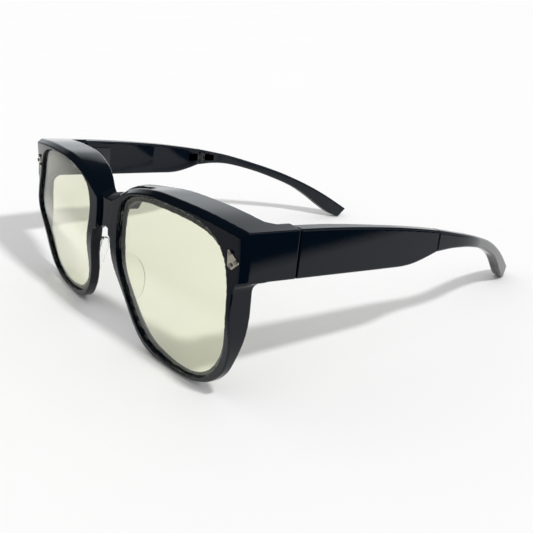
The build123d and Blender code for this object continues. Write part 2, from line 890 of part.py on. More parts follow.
with BuildPart() as tip_hinge_tongue_right:
    mirror(tip_hinge_tongue_left.part, about=Plane.YZ)

with BuildPart() as tip_hinge_fork_right:
    mirror(tip_hinge_fork_left.part, about=Plane.YZ)

with BuildPart() as tip_hinge_pin_right:
    mirror(tip_hinge_pin_left.part, about=Plane.YZ)

with BuildPart() as temple_tip_right:
    mirror(temple_tip_left.part, about=Plane.YZ)


def lowest(part, lean):
    """Lowest level of a part once it leans back by an angle in degrees."""
    return part.rotate(Axis.X, -lean).bounding_box().min.Z


# Lean back until the rims and the tips of the temples rest on the same table
halvings = 30
least_lean = 0.0
most_lean = degrees(atan2(tip_foot, temple_reach)) * 2
for halving in range(halvings):
    rest_lean = (least_lean + most_lean) / 2
    if lowest(front_frame.part, rest_lean) < lowest(temple_tip_left.part, rest_lean):
        least_lean = rest_lean
    else:
        most_lean = rest_lean

front_rest = front_frame.part.rotate(Axis.X, -rest_lean).bounding_box()
tip_rest = temple_tip_left.part.rotate(Axis.X, -rest_lean).bounding_box()
table_shift = Pos(0, -(front_rest.min.Y + tip_rest.max.Y) / 2, -front_rest.min.Z)
rest_place = table_shift * Rot(-rest_lean, 0, 0)

pieces = {
    "front_frame": front_frame,
    "lens_left": lens_left,
    "lens_right": lens_right,
    "nose_pad_left": nose_pad_left,
    "nose_pad_right": nose_pad_right,
    "rivet_plaque_left": rivet_plaque_left,
    "rivet_plaque_right": rivet_plaque_right,
    "plaque_rivets": plaque_rivets,
    "front_hinge_leaf_left": front_hinge_leaf_left,
    "front_hinge_leaf_right": front_hinge_leaf_right,
    "hinge_screws": hinge_screws,
    "arm_hinge_leaf_left": arm_hinge_leaf_left,
    "arm_hinge_leaf_right": arm_hinge_leaf_right,
    "temple_arm_left": temple_arm_left,
    "temple_arm_right": temple_arm_right,
    "tip_hinge_tongue_left": tip_hinge_tongue_left,
    "tip_hinge_tongue_right": tip_hinge_tongue_right,
    "tip_hinge_pin_left": tip_hinge_pin_left,
    "tip_hinge_pin_right": tip_hinge_pin_right,
    "tip_hinge_fork_left": tip_hinge_fork_left,
    "tip_hinge_fork_right": tip_hinge_fork_right,
    "temple_tip_left": temple_tip_left,
    "temple_tip_right": temple_tip_right,
}

os.makedirs("parts", exist_ok=True)
for name, piece in pieces.items():
    piece.part.move(rest_place)
    piece.part.label = name
    export_step(piece.part, f"parts/{name}.step")
    print(name, len(piece.solids()), round(piece.part.volume, 2), piece.part.is_valid)

# Places of the hinges in the resting assembly, for whoever sets the joints
fold_axis_foot = (rest_place * Pos(hinge_x, hinge_y, hinge_level)).position
tip_axis_foot = (rest_place * Pos(tip_hinge_x, tip_hinge_y, tip_hinge_level)).position
print("lean", rest_lean, "shift", table_shift.position)
print("fold hinge", fold_axis_foot, "tip hinge", tip_axis_foot)
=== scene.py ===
"""Looks of the fitover sunglasses: smooth moulded skins, finishes, studio and camera.

The skins are drawn in the wearer's frame, in millimetres: X to the wearer's left, Y back
along the temples, Z up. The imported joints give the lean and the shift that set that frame
down on the table, which is the row frame of the part.
"""

import json
import logging
import math
from dataclasses import dataclass, field
from enum import Enum
from typing import Callable

import bpy
import numpy as np
from mathutils import Matrix, Vector


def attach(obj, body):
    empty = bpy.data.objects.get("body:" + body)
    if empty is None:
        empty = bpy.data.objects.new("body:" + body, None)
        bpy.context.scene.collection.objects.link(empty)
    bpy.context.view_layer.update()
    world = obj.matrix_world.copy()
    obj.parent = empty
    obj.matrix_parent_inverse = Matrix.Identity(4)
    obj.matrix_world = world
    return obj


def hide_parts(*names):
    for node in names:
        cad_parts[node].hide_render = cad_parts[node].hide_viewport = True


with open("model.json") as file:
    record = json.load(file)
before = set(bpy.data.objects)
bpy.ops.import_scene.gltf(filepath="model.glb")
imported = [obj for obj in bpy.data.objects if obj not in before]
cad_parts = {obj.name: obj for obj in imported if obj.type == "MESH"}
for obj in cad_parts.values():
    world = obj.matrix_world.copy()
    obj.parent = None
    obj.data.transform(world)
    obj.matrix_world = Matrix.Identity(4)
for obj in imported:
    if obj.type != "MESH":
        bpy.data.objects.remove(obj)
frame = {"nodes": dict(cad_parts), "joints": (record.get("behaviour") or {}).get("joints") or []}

log = logging.getLogger("sunglasses")
MM = 0.001
Array = np.ndarray
Field = Callable[[Array], Array]
Points = list[tuple[float, float]]


class Side(Enum):
    """The wearer's two sides, with the sign of X on each."""

    LEFT = 1
    RIGHT = -1

    @property
    def word(self) -> str:
        """The side as the CAD nodes' names have it."""
        return self.name.lower()


class WearerFrame:
    """The wearer's frame in millimetres, and its place in the row frame in metres."""

    hinge = np.array((66.75, 18.375, 44.3))

    def __init__(self, joints: list[dict]) -> None:
        """Find the lean and the shift from the left fold joint.

        Args:
            joints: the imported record's joints.
        """
        fold = next(joint for joint in joints if joint["name"] == "temple_fold_left")
        _, sine, cosine = fold["axis"]
        self.turn = np.array(((1, 0, 0), (0, cosine, sine), (0, -sine, cosine)))
        self.shift = np.array(fold["pos_m"]) / MM - self.turn @ self.hinge

    def to_row(self, points: Array) -> Array:
        """Place points of the wearer's frame in the row frame.

        Args:
            points: places in millimetres, one row each.

        Returns:
            The places in metres.
        """
        return (points @ self.turn.T + self.shift) * MM

    def turned(self, directions: Array) -> Array:
        """Turn directions of the wearer's frame into the row frame."""
        return directions @ self.turn.T


@dataclass
class FlatShape:
    """A flat closed shape with its distance map, negative inside."""

    outline: Points
    low: tuple[float, float]
    high: tuple[float, float]
    step: float = 0.25

    def __post_init__(self) -> None:
        """Work out the distance map on a regular grid."""
        across = np.arange(self.low[0], self.high[0] + self.step, self.step)
        up = np.arange(self.low[1], self.high[1] + self.step, self.step)
        u, v = np.meshgrid(across, up, indexing="ij")
        nearest = np.full(u.shape, np.inf)
        inside = np.zeros(u.shape, bool)
        ends = np.array(self.outline, float)
        for start, end in zip(ends, np.roll(ends, -1, axis=0)):
            run = end - start
            length2 = float(run @ run)
            if length2 < 1e-12:
                continue
            along = np.clip(((u - start[0]) * run[0] + (v - start[1]) * run[1]) / length2, 0, 1)
            gap = (u - start[0] - along * run[0]) ** 2 + (v - start[1] - along * run[1]) ** 2
            np.minimum(nearest, gap, out=nearest)
            spans = (start[1] > v) != (end[1] > v)
            if run[1]:
                inside ^= spans & (u < start[0] + (v - start[1]) * run[0] / run[1])
        self.distances = np.sqrt(nearest) * np.where(inside, -1, 1)

    def at(self, u: Array, v: Array) -> Array:
        """Read the distance map between its grid points.

        Args:
            u: first coordinates.
            v: second coordinates.

        Returns:
            The distances to the outline, negative inside.
        """
        rows, columns = self.distances.shape
        i = np.clip((u - self.low[0]) / self.step, 0, rows - 1.001)
        j = np.clip((v - self.low[1]) / self.step, 0, columns - 1.001)
        i0, j0 = i.astype(int), j.astype(int)
        fi, fj = i - i0, j - j0
        grid = self.distances
        return (
            grid[i0, j0] * (1 - fi) * (1 - fj)
            + grid[i0 + 1, j0] * fi * (1 - fj)
            + grid[i0, j0 + 1] * (1 - fi) * fj
            + grid[i0 + 1, j0 + 1] * fi * fj
        )


def smooth_run(points: Points, closed: bool = False, pieces: int = 12) -> Points:
    """Draw a smooth line through points.

    Args:
        points: the places that it passes.
        closed: whether it comes back to the first one.
        pieces: how many short lines replace each span.

    Returns:
        The points of the smooth line.
    """
    stops = [np.array(point, float) for point in points]
    if closed:
        stops = [stops[-1], *stops, stops[0], stops[1]]
    else:
        stops = [2 * stops[0] - stops[1], *stops, 2 * stops[-1] - stops[-2]]
    drawn = []
    for before, start, end, after in zip(stops, stops[1:], stops[2:], stops[3:]):
        spans = ((before, start), (start, end), (end, after))
        first, middle, last = (max(np.linalg.norm(b - a) ** 0.5, 1e-6) for a, b in spans)
        steady = (end - start) / middle
        lead = (start - before) / first - (end - before) / (first + middle) + steady
        trail = steady - (after - start) / (middle + last) + (after - end) / last
        lead, trail = lead * middle, trail * middle
        for count in range(pieces):
            t = count / pieces
            place = (
                (2 * t**3 - 3 * t**2 + 1) * start
                + (t**3 - 2 * t**2 + t) * lead
                + (3 * t**2 - 2 * t**3) * end
                + (t**3 - t**2) * trail
            )
            drawn.append((float(place[0]), float(place[1])))
    if not closed:
        drawn.append(tuple(float(value) for value in stops[-2]))
    return drawn


def both(first: Array, second: Array, rounding: float = 0.0) -> Array:
    """Keep what lies in both shapes, with the edge between them rounded."""
    if not rounding:
        return np.maximum(first, second)
    corner = np.hypot(np.maximum(first + rounding, 0), np.maximum(second + rounding, 0))
    return np.minimum(-rounding, np.maximum(first, second)) + corner


def either(first: Array, second: Array, rounding: float = 0.0) -> Array:
    """Keep what lies in one shape or the other, with a fillet between them."""
    if not rounding:
        return np.minimum(first, second)
    corner = np.hypot(np.maximum(rounding - first, 0), np.maximum(rounding - second, 0))
    return np.maximum(rounding, np.minimum(first, second)) - corner


@dataclass
class Skin:
    """Turns a distance field into a closed mesh of small quads with exact normals."""

    shape: Field
    low: tuple[float, float, float]
    high: tuple[float, float, float]
    cell: float

    def mesh(self) -> tuple[Array, Array, Array]:
        """Lay the skin on the places where the field is zero.

        Returns:
            The vertices, the quads and the normals at the vertices.
        """
        spans = zip(self.low, self.high)
        lines = [np.arange(a - self.cell, b + 2 * self.cell, self.cell) for a, b in spans]
        sizes = tuple(len(line) for line in lines)
        values = np.empty(sizes)
        for count, x in enumerate(lines[0]):
            y, z = np.meshgrid(lines[1], lines[2], indexing="ij")
            slab = np.stack((np.full(y.shape, x), y, z), -1).reshape(-1, 3)
            values[count] = self.shape(slab).reshape(y.shape)
        inside = values < 0
        cells = tuple(size - 1 for size in sizes)
        total = np.zeros((*cells, 3))
        hits = np.zeros(cells)
        steps = [(0, 0), (0, 1), (1, 0), (1, 1)]
        for axis in range(3):
            others = [a for a in range(3) if a != axis]
            near, far = [slice(None)] * 3, [slice(None)] * 3
            near[axis], far[axis] = slice(0, -1), slice(1, None)
            a, b = values[tuple(near)], values[tuple(far)]
            cross = inside[tuple(near)] != inside[tuple(far)]
            share = np.where(cross, a / np.where(cross, a - b, 1), 0)
            for step in steps:
                pick = [slice(None)] * 3
                for other, move in zip(others, step):
                    pick[other] = slice(move, move + cells[other])
                pick = tuple(pick)
                hits += cross[pick]
                total[..., axis] += share[pick]
                for other, move in zip(others, step):
                    total[..., other] += cross[pick] * move
        used = hits > 0
        index = np.full(cells, -1)
        index[used] = np.arange(int(used.sum()))
        corner = np.argwhere(used) + total[used] / hits[used][:, None]
        origin = np.array([line[0] for line in lines])
        vertices = origin + corner * self.cell
        quads = []
        for axis in range(3):
            others = [a for a in range(3) if a != axis]
            near, far = [slice(1, -1)] * 3, [slice(1, -1)] * 3
            near[axis], far[axis] = slice(0, -1), slice(1, None)
            start, end = inside[tuple(near)], inside[tuple(far)]
            for leaving in (True, False):
                where = np.argwhere((start != end) & (start == leaving))
                offset = np.ones(3, int)
                offset[axis] = 0
                where = where + offset
                ring = [(-1, -1), (0, -1), (0, 0), (-1, 0)]
                if leaving == (axis == 1):
                    ring = ring[::-1]
                corners = []
                for move in ring:
                    place = where.copy()
                    place[:, others[0]] += move[0]
                    place[:, others[1]] += move[1]
                    corners.append(index[tuple(place.T)])
                quads.append(np.stack(corners, -1))
        quads = np.concatenate(quads)
        for _ in range(3):
            value = self.shape(vertices)
            normals = self.slope(vertices)
            size2 = np.maximum((normals**2).sum(1), 1e-6)
            move = normals * (value / size2)[:, None]
            reach = np.linalg.norm(move, axis=1)
            limit = np.minimum(1, 0.5 * self.cell / np.maximum(reach, 1e-9))
            vertices = vertices - move * limit[:, None]
        normals = self.slope(vertices)
        normals /= np.maximum(np.linalg.norm(normals, axis=1), 1e-9)[:, None]
        return vertices, quads, normals

    def slope(self, places: Array) -> Array:
        """Measure which way the field rises at some places."""
        reach = 0.3 * self.cell
        rows = []
        for axis in range(3):
            step = np.zeros(3)
            step[axis] = reach
            rows.append(self.shape(places + step) - self.shape(places - step))
        return np.stack(rows, -1) / (2 * reach)


@dataclass(frozen=True)
class Finish:
    """A finish of one material, made of procedural nodes."""

    name: str
    colour: tuple[float, float, float]
    roughness: float
    roughness_spread: float = 0.04
    metallic: float = 0.0
    coat: float = 0.0
    gloss: float = 0.5
    grain_scale: float = 900.0
    grain_height: float = 0.00001
    stretch: tuple[float, float, float] = (1.0, 1.0, 1.0)

    def material(self) -> bpy.types.Material:
        """Build the material.

        Returns:
            A material with uneven gloss and a fine grain.
        """
        made = bpy.data.materials.new(self.name)
        made.use_nodes = True
        tree = made.node_tree
        shader = tree.nodes["Principled BSDF"]
        shader.inputs["Base Color"].default_value = (*self.colour, 1)
        shader.inputs["Metallic"].default_value = self.metallic
        shader.inputs["Coat Weight"].default_value = self.coat
        shader.inputs["Specular IOR Level"].default_value = self.gloss
        shader.inputs["Coat Roughness"].default_value = 0.03
        place = tree.nodes.new("ShaderNodeTexCoord")
        spread = tree.nodes.new("ShaderNodeMapping")
        spread.inputs["Scale"].default_value = self.stretch
        wear = tree.nodes.new("ShaderNodeTexNoise")
        wear.inputs["Scale"].default_value = 70.0
        wear.inputs["Detail"].default_value = 5.0
        limits = tree.nodes.new("ShaderNodeMapRange")
        limits.inputs["To Min"].default_value = max(0.0, self.roughness - self.roughness_spread)
        limits.inputs["To Max"].default_value = self.roughness + self.roughness_spread
        grain = tree.nodes.new("ShaderNodeTexNoise")
        grain.inputs["Scale"].default_value = self.grain_scale
        grain.inputs["Detail"].default_value = 3.0
        bump = tree.nodes.new("ShaderNodeBump")
        bump.inputs["Strength"].default_value = 0.35
        bump.inputs["Distance"].default_value = self.grain_height
        link = tree.links.new
        link(place.outputs["Object"], spread.inputs["Vector"])
        link(spread.outputs["Vector"], wear.inputs["Vector"])
        link(spread.outputs["Vector"], grain.inputs["Vector"])
        link(wear.outputs["Fac"], limits.inputs["Value"])
        link(limits.outputs["Result"], shader.inputs["Roughness"])
        link(grain.outputs["Fac"], bump.inputs["Height"])
        link(bump.outputs["Normal"], shader.inputs["Normal"])
        return made


@dataclass(frozen=True)
class ClearFinish:
    """A see-through finish with a faint cloudiness in its gloss."""

    name: str
    tint: tuple[float, float, float]
    roughness: float
    ior: float

    def material(self) -> bpy.types.Material:
        """Build the material.

        Returns:
            A glassy material whose shadow lets tinted light through.
        """
        made = bpy.data.materials.new(self.name)
        made.use_nodes = True
        tree = made.node_tree
        shader = tree.nodes["Principled BSDF"]
        shader.inputs["Base Color"].default_value = (*self.tint, 1)
        shader.inputs["Transmission Weight"].default_value = 1.0
        shader.inputs["IOR"].default_value = self.ior
        place = tree.nodes.new("ShaderNodeTexCoord")
        haze = tree.nodes.new("ShaderNodeTexNoise")
        haze.inputs["Scale"].default_value = 40.0
        limits = tree.nodes.new("ShaderNodeMapRange")
        limits.inputs["To Min"].default_value = self.roughness * 0.5
        limits.inputs["To Max"].default_value = self.roughness * 1.5
        path = tree.nodes.new("ShaderNodeLightPath")
        through = tree.nodes.new("ShaderNodeBsdfTransparent")
        through.inputs["Color"].default_value = (*(value**0.6 for value in self.tint), 1)
        mix = tree.nodes.new("ShaderNodeMixShader")
        end = tree.nodes["Material Output"]
        link = tree.links.new
        link(place.outputs["Object"], haze.inputs["Vector"])
        link(haze.outputs["Fac"], limits.inputs["Value"])
        link(limits.outputs["Result"], shader.inputs["Roughness"])
        link(path.outputs["Is Shadow Ray"], mix.inputs["Fac"])
        link(shader.outputs["BSDF"], mix.inputs[1])
        link(through.outputs["BSDF"], mix.inputs[2])
        link(mix.outputs["Shader"], end.inputs["Surface"])
        return made


class Finishes:
    """All the finishes of the part, each made once."""

    def __init__(self) -> None:
        """Make the materials."""
        self.gloss_black = Finish(
            "GlossBlack", (0.0008, 0.0025, 0.0055), 0.05, roughness_spread=0.015, gloss=0.27
        ).material()
        self.satin_black = Finish(
            "SatinBlackTip", (0.003, 0.005, 0.008), 0.16, gloss=0.32, grain_height=0.00002
        ).material()
        self.champagne = Finish(
            "ChampagneMetal", (0.72, 0.66, 0.55), 0.24, metallic=1.0, stretch=(1, 1, 9)
        ).material()
        self.steel = Finish(
            "HingeSteel", (0.6, 0.6, 0.61), 0.28, metallic=1.0, stretch=(6, 1, 1)
        ).material()
        self.dark_steel = Finish(
            "BlackenedSteel", (0.06, 0.062, 0.068), 0.3, metallic=1.0, stretch=(6, 1, 1)
        ).material()
        self.rivet = Finish("RivetMetal", (0.4, 0.37, 0.33), 0.22, metallic=1.0).material()
        self.lens = ClearFinish("LensTint", (0.925, 0.94, 0.745), 0.004, 1.45).material()
        self.pad = ClearFinish("ClearPad", (0.975, 0.98, 0.965), 0.04, 1.2).material()


@dataclass
class Workshop:
    """What every sub-assembly needs: the wearer's frame, the finishes and the cell size."""

    wearer: WearerFrame
    finishes: Finishes
    coarse: float = 1.0

    def skin(
        self, name: str, shape: Field, low: tuple, high: tuple, cell: float
    ) -> bpy.types.Object:
        """Make a skinned object in the row frame.

        Args:
            name: the object's name.
            shape: its distance field in the wearer's frame.
            low: lowest corner of the room that it takes.
            high: highest corner.
            cell: size of the skin's quads in millimetres.

        Returns:
            The object, with its normals set.
        """
        vertices, quads, normals = Skin(shape, low, high, cell * self.coarse).mesh()
        return self.put(name, vertices, quads, normals)

    def put(self, name: str, vertices: Array, faces: Array, normals: Array) -> bpy.types.Object:
        """Make an object from a mesh in the wearer's frame.

        Args:
            name: the object's name.
            vertices: places in millimetres.
            faces: vertex numbers of each face.
            normals: one normal for each vertex.

        Returns:
            The object.
        """
        mesh = bpy.data.meshes.new(name)
        mesh.from_pydata(self.wearer.to_row(vertices).tolist(), [], faces.tolist())
        mesh.shade_smooth()
        mesh.normals_split_custom_set_from_vertices(self.wearer.turned(normals).tolist())
        made = bpy.data.objects.new(name, mesh)
        bpy.context.scene.collection.objects.link(made)
        return made

    def dress(
        self, made: bpy.types.Object, finish: bpy.types.Material, slot: str, body: str, *nodes: str
    ) -> None:
        """Finish a piece and let it stand for CAD nodes.

        Args:
            made: the piece.
            finish: its material.
            slot: the record's material slot; not used.
            body: the CAD body that it rides on.
            nodes: the CAD nodes that it replaces.
        """
        made.data.materials.append(finish)
        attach(made, body)
        if nodes:
            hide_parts(*nodes)
        log.info("%s: %d faces", made.name, len(made.data.polygons))


@dataclass
class Face:
    """The lie of the front face and the outlines drawn on it."""

    half_width: float = 74.0
    height: float = 53.0
    half_chord: float = 73.0
    wrap: float = 4.7
    lean: float = 5.6
    lean_height: float = 46.0
    endpiece_bottom: float = 37.3
    endpiece_top: float = 51.0
    shield_fillet: float = 3.0
    bridge_bottom: float = 34.2
    bridge_top: float = 44.0
    bulge: float = 1.75
    bulge_level: float = 26.5
    bulge_spread: float = 10.0
    rim_shares: Points = field(
        default_factory=lambda: [
            (0.083, 0.600), (0.103, 0.500), (0.131, 0.392), (0.173, 0.272), (0.224, 0.155),
            (0.296, 0.057), (0.378, 0.010), (0.500, 0.000), (0.622, 0.006), (0.724, 0.030),
            (0.816, 0.083), (0.888, 0.170), (0.927, 0.270), (0.952, 0.380), (0.962, 0.510),
        ]
    )
    brow_shares: Points = field(
        default_factory=lambda: [
            (0.061, 0.836), (0.120, 0.878), (0.240, 0.949), (0.410, 0.994), (0.580, 1.000),
            (0.780, 0.991),
        ]
    )
    recess_shares: Points = field(
        default_factory=lambda: [
            (0.151, 0.764), (0.147, 0.670), (0.157, 0.585), (0.165, 0.491), (0.178, 0.377),
            (0.207, 0.257), (0.265, 0.140), (0.351, 0.064), (0.462, 0.032), (0.578, 0.023),
            (0.689, 0.042), (0.789, 0.102), (0.862, 0.206), (0.909, 0.334), (0.935, 0.481),
            (0.935, 0.604), (0.922, 0.708), (0.897, 0.808), (0.855, 0.879), (0.791, 0.925),
            (0.689, 0.951), (0.574, 0.958), (0.453, 0.955), (0.338, 0.938), (0.243, 0.906),
            (0.178, 0.845),
        ]
    )
    opening_shares: Points = field(
        default_factory=lambda: [
            (0.178, 0.755), (0.173, 0.675), (0.178, 0.585), (0.188, 0.491), (0.207, 0.377),
            (0.239, 0.268), (0.293, 0.168), (0.373, 0.092), (0.472, 0.057), (0.578, 0.043),
            (0.678, 0.060), (0.768, 0.119), (0.836, 0.219), (0.884, 0.349), (0.911, 0.491),
            (0.911, 0.604), (0.897, 0.698), (0.874, 0.785), (0.836, 0.847), (0.777, 0.885),
            (0.682, 0.908), (0.574, 0.915), (0.453, 0.915), (0.345, 0.906), (0.255, 0.874),
            (0.201, 0.819),
        ]
    )

    def __post_init__(self) -> None:
        """Draw the outlines and measure their distance maps."""
        self.radius = (self.half_chord**2 + self.wrap**2) / (2 * self.wrap)
        self.foot = self.lean_height * math.sin(math.radians(self.lean))
        low, high = (-3.0, -4.0), (self.half_width + 4, self.height + 4)
        self.outline = FlatShape(self.whole_outline(), low, high)
        opening, recess = self.scaled(self.opening_shares), self.scaled(self.recess_shares)
        self.opening = FlatShape(smooth_run(opening, closed=True), low, high)
        self.recess = FlatShape(smooth_run(recess, closed=True), low, high)
        beyond = (self.half_width + 9.0, self.endpiece_top - 0.5)
        self.brow_line = np.array([(0.0, self.bridge_top), *self.brow(), beyond])

    def scaled(self, shares: Points) -> Points:
        """Turn shares of the half width and the height into millimetres."""
        return [(across * self.half_width, up * self.height) for across, up in shares]

    def brow(self) -> Points:
        """Draw the brow line from the bridge to the corner."""
        return smooth_run(self.scaled(self.brow_shares) + [(self.half_width, self.endpiece_top)])

    def whole_outline(self) -> Points:
        """Draw the outline of the front.

        Returns:
            The outline of both halves, as seen from the front.
        """
        rim = self.scaled(self.rim_shares)
        under = [(-rim[0][0], rim[0][1]), (0.0, self.bridge_bottom), rim[0]]
        under = smooth_run(under)[12:]
        side = rim[-1][0]
        turn = self.shield_fillet
        shoulder = [
            (side + turn - turn * math.cos(angle), self.endpiece_bottom - turn + turn * math.sin(angle))
            for angle in np.linspace(0, math.pi / 2, 9)
        ]
        half = under[:-1] + smooth_run(rim) + shoulder
        half += [(self.half_width, self.endpiece_bottom)] + self.brow()[::-1] + [(0.0, self.bridge_top)]
        return half + [(-across, up) for across, up in half[-2:0:-1]]

    def front(self, x: Array, z: Array) -> Array:
        """Depth of the front face at places in the front view."""
        lean = math.radians(self.lean)
        wrap = self.radius - self.wrap - np.sqrt(self.radius**2 - x**2)
        swell = self.bulge * np.exp(-(((z - self.bulge_level) / self.bulge_spread) ** 2))
        return self.foot - z * math.tan(lean) + wrap / math.cos(lean) - swell

    def depth(self, places: Array) -> Array:
        """Depth behind the face, measured square to it."""
        x, y, z = np.abs(places[:, 0]), places[:, 1], places[:, 2]
        return (y - self.front(x, z)) * math.cos(math.radians(self.lean))


@dataclass
class Front:
    """The moulded front with its lenses and nose pads; the corner plaques keep their CAD shapes."""

    shop: Workshop
    face: Face
    rim_thickness: float = 3.3
    brow_bevel: float = 1.4
    brow_bevel_depth: float = 2.0
    corner_bevel: float = 1.0
    corner_slope: float = 1.8
    shelf_depth: float = 11.4
    hood_gap: float = 0.3
    side_shield: float = 6.5
    lower_shield: float = 5.1
    seam: float = 18.3
    endpiece_inner: float = 68.6
    edge_round: float = 0.45
    soft_edge: float = 0.3
    inner_edge: float = 0.25
    bevel_edge: float = 0.2
    ledge_edge: float = 0.12
    plan_corner: float = 2.2
    shelf_lift: float = 0.48
    lift_centre: float = 3.0
    lift_spread: float = 13.0
    lift_start: float = 1.5
    lift_reach: float = 9.0
    lift_level: float = 38.0
    lift_blend: float = 4.0
    recess_half_width: float = 4.5
    recess: float = 1.2
    lens_setback: float = 1.0
    lens_thickness: float = 1.4
    nose_room: tuple[float, float] = (-2.35, 0.186)
    nose_room_top: float = 36.6
    bridge_rear: float = 0.3
    shelf_underside: float = 42.5
    nose_width: float = 20.0
    pad_place: tuple[float, float] = (11.7, 20.45)
    pad_slant: tuple[float, float] = (0.394, 0.919)
    pad_splay: float = 40.0
    pad_thickness: float = 1.5
    pad_root: float = 3.0
    pad_crown: Points = field(
        default_factory=lambda: [(8.5, 0.0), (6.8, 3.84), (0.85, 6.2), (-5.44, 4.59), (-8.5, 0.0)]
    )
    shield_stops: Points = field(default_factory=lambda: [(0.8, 11.7), (1.0, 24.4)])
    shelf_shares: Points = field(
        default_factory=lambda: [
            (0.68, 0.86), (0.50, 0.75), (0.35, 0.60), (0.20, 0.38), (0.10, 0.21), (0.0, 0.03),
        ]
    )

    def plan(self) -> FlatShape:
        """Draw the plan of the hood, open towards the front."""
        width, ledge = self.face.half_width, self.shelf_depth
        corner = self.endpiece_inner - self.plan_corner
        rear = [(across * width, back * ledge) for across, back in self.shelf_shares]
        curve = smooth_run([(corner, ledge), *rear])
        outline = [
            (-20.0, -40.0), (width + 12, -40.0), (width + 12, self.seam),
            (self.endpiece_inner, self.seam), (self.endpiece_inner, ledge + self.plan_corner),
            *curve, (-20.0, 0.0), (-20.0, -40.0),
        ]
        return FlatShape(outline, (-3.0, -12.0), (width + 4, self.seam + 6))

    def side_view(self) -> FlatShape:
        """Draw the side view that trims the rims and the hood."""
        level, turn, shield = self.face.endpiece_bottom, self.face.shield_fillet, self.side_shield
        stops = [(shield * share, up) for share, up in self.shield_stops]
        rear = smooth_run([(self.lower_shield, 0), *stops, (shield, level - turn)])
        bend = [
            (shield + turn - turn * math.cos(angle), level - turn + turn * math.sin(angle))
            for angle in np.linspace(0, math.pi / 2, 9)
        ]
        outline = [
            (-60.0, -10.0), (self.lower_shield, -10.0), *rear, *bend,
            (self.seam, level), (self.seam, 70.0), (-60.0, 70.0),
        ]
        return FlatShape(outline, (-12.0, -4.0), (self.seam + 6, self.face.height + 4))

    def field(self) -> Field:
        """Join the rims, the hood and the endpieces into one moulded field.

        Returns:
            The distance field of the front.
        """
        plan, side = self.plan(), self.side_view()
        face, edge = self.face, self.edge_round
        brow_slope = self.brow_bevel_depth / self.brow_bevel

        def moulded(places: Array) -> Array:
            """Distance to the front, negative inside the plastic."""
            x, y, z = np.abs(places[:, 0]), places[:, 1], places[:, 2]
            depth = face.depth(places)
            outer = face.outline.at(x, z)
            hole = face.opening.at(x, z)
            well = face.recess.at(x, z)
            lift = self.shelf_lift * np.exp(-(((x - self.lift_centre) / self.lift_spread) ** 2))
            lift = lift * np.clip((z - self.lift_level) / self.lift_blend, 0, 1)
            shell = both(outer - lift * np.clip(depth - self.lift_start, 0, self.lift_reach), -depth, edge)
            rim = both(shell, depth - self.rim_thickness, edge)
            rim = both(rim, -hole, self.inner_edge)
            seat = np.maximum(well, depth - self.lens_setback - self.lens_thickness)
            rim = both(rim, -seat, self.ledge_edge)
            hood = both(shell, plan.at(x, y), edge)
            hood = both(hood, self.hood_gap - well, self.inner_edge)
            low_room = np.maximum(self.nose_room[0] + self.nose_room[1] * x - y, z - self.nose_room_top)
            hood = both(hood, -low_room, self.soft_edge)
            high_room = np.maximum(self.bridge_rear - y, z - self.shelf_underside)
            hood = both(hood, -np.maximum(high_room, x - self.nose_width), self.soft_edge)
            solid = both(either(rim, hood), side.at(y, z), edge)
            fall = z - np.interp(x, face.brow_line[:, 0], face.brow_line[:, 1])
            brow = (fall + self.brow_bevel) * brow_slope - depth
            solid = both(solid, brow / math.hypot(1, brow_slope), self.bevel_edge)
            corner = (x - face.half_width + self.corner_bevel) * self.corner_slope - depth
            solid = both(solid, corner / math.hypot(1, self.corner_slope), self.soft_edge)
            step = np.maximum(x - self.recess_half_width, depth - self.recess)
            return both(solid, -step, self.bevel_edge)

        return moulded

    def build(self) -> None:
        """Build and dress the front, the lenses and the small pieces on it."""
        reach = self.face.half_width
        low, high = (-reach, -6.0, -0.5), (reach, self.seam, self.face.height + 0.5)
        made = self.shop.skin("MouldedFront", self.field(), low, high, 0.45)
        self.shop.dress(made, self.shop.finishes.gloss_black, "frame_black", "front", "front_frame")
        for side in Side:
            self.lens(side)
            self.pad(side)

    def lens(self, side: Side) -> None:
        """Build one lens.

        Args:
            side: the wearer's side.
        """
        face = self.face
        middle = self.lens_setback + self.lens_thickness / 2

        def shape(places: Array) -> Array:
            """Distance to the lens, which follows the face."""
            well = face.recess.at(places[:, 0] * side.value, places[:, 2])
            slab = np.abs(face.depth(places) - middle) - self.lens_thickness / 2
            return both(well + 0.05, slab, 0.1)

        near, far = sorted((side.value * 10.0, side.value * 71.0))
        made = self.shop.skin(f"Lens_{side.word}", shape, (near, -5.0, 0.5), (far, 8.5, 52.0), 0.5)
        self.shop.dress(made, self.shop.finishes.lens, "lens", "front", f"lens_{side.word}")

    def pad(self, side: Side) -> None:
        """Build one clear nose pad, a leaf behind the nose side of the rim.

        Args:
            side: the wearer's side.
        """
        face = self.face
        x, z = self.pad_place
        seat = float(face.front(np.array(x), np.array(z))) + self.rim_thickness
        run, rise = self.pad_slant
        splay = math.radians(self.pad_splay)
        across = np.array((math.cos(splay) * rise, -math.sin(splay), math.cos(splay) * run))
        along = np.array((run, 0.0, -rise))
        out = np.cross(across, along)
        top, bottom = self.pad_crown[0][0], self.pad_crown[-1][0]
        root = [(bottom, -self.pad_root), (top, -self.pad_root)]
        leaf = FlatShape(smooth_run(self.pad_crown) + root, (-12.0, -6.0), (12.0, 10.0))

        def shape(places: Array) -> Array:
            """Distance to the pad."""
            level = places * (side.value, 1, 1)
            rest = level - (x, seat, z)
            sheet = np.abs(rest @ across) - self.pad_thickness / 2
            body = both(leaf.at(rest @ along, rest @ out), sheet, 0.45)
            return both(body, self.rim_thickness - 0.1 - face.depth(level), 0.05)

